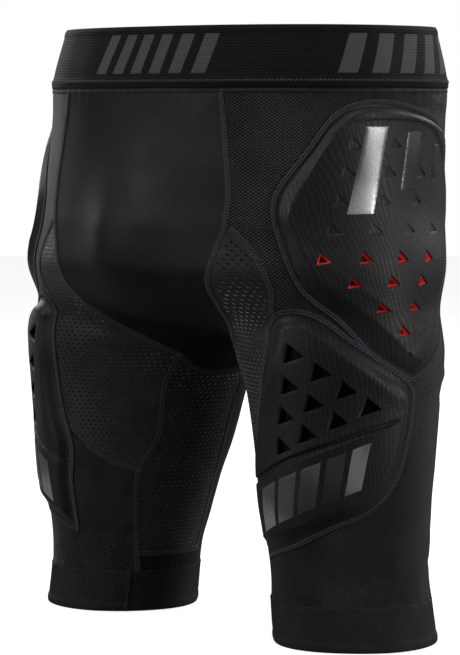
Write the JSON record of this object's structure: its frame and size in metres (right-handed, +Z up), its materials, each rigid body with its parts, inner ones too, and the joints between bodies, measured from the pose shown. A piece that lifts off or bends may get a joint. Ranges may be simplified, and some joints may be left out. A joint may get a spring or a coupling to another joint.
{
  "type": "padded impact shorts",
  "caption": "Compression shorts with moulded hip, thigh and tailbone impact pads, mesh and perforated panels, wide elastic waistband and elastic leg cuffs, in worn shape.",
  "frame": {"origin": "centre of the plane that the leg hems stand on, under the middle of the shorts", "axes": "+Z up from hems to waistband, -Y to the wearer's front, +X to the wearer's left"},
  "size_m": [0.4215, 0.2855, 0.485],
  "materials": {
    "elastic": "matte",
    "cuff_elastic": "matte",
    "smooth_lycra": "satin",
    "fine_mesh": "matte",
    "vent_mesh": "matte",
    "pad_cover": "satin",
    "red_foam": "matte",
    "black_foam": "matte",
    "emblem_print": "gloss",
    "thread": "matte",
    "silicone": "satin",
    "label": "matte"
  },
  "bodies": {
    "root": {"waistband": "elastic", "waistband_stitching": "thread", "front_panel": "smooth_lycra", "seat_panel": "smooth_lycra", "crotch_gusset": "smooth_lycra", "tailbone_pad_cover": "pad_cover", "tailbone_pad_foam": "black_foam", "size_label": "label", "left_side_mesh_panel": "fine_mesh", "left_groin_vent_panel": "vent_mesh", "left_inner_thigh_vent_panel": "vent_mesh", "left_inner_hem_panel": "fine_mesh", "left_back_thigh_panel": "fine_mesh", "left_hip_pad_cover": "pad_cover", "left_hip_pad_foam": "red_foam", "left_hip_pad_emblem": "emblem_print", "left_thigh_pad_cover": "pad_cover", "left_thigh_pad_foam": "black_foam", "left_thigh_pad_emblem": "emblem_print", "left_hip_pad_stitching": "thread", "left_thigh_pad_stitching": "thread", "left_front_seam_stitching": "thread", "left_inseam_stitching": "thread", "left_back_seam_stitching": "thread", "left_seat_fold_stitching": "thread", "left_vent_edge_stitching": "thread", "left_vent_hem_stitching": "thread", "left_leg_cuff": "cuff_elastic", "left_cuff_gripper": "silicone", "right_side_mesh_panel": "fine_mesh", "right_groin_vent_panel": "vent_mesh", "right_inner_thigh_vent_panel": "vent_mesh", "right_inner_hem_panel": "fine_mesh", "right_back_thigh_panel": "fine_mesh", "right_hip_pad_cover": "pad_cover", "right_hip_pad_foam": "red_foam", "right_hip_pad_emblem": "emblem_print", "right_thigh_pad_cover": "pad_cover", "right_thigh_pad_foam": "black_foam", "right_thigh_pad_emblem": "emblem_print", "right_hip_pad_stitching": "thread", "right_thigh_pad_stitching": "thread", "right_front_seam_stitching": "thread", "right_inseam_stitching": "thread", "right_back_seam_stitching": "thread", "right_seat_fold_stitching": "thread", "right_vent_edge_stitching": "thread", "right_vent_hem_stitching": "thread", "right_leg_cuff": "cuff_elastic", "right_cuff_gripper": "silicone"}
  },
  "joints": []
}
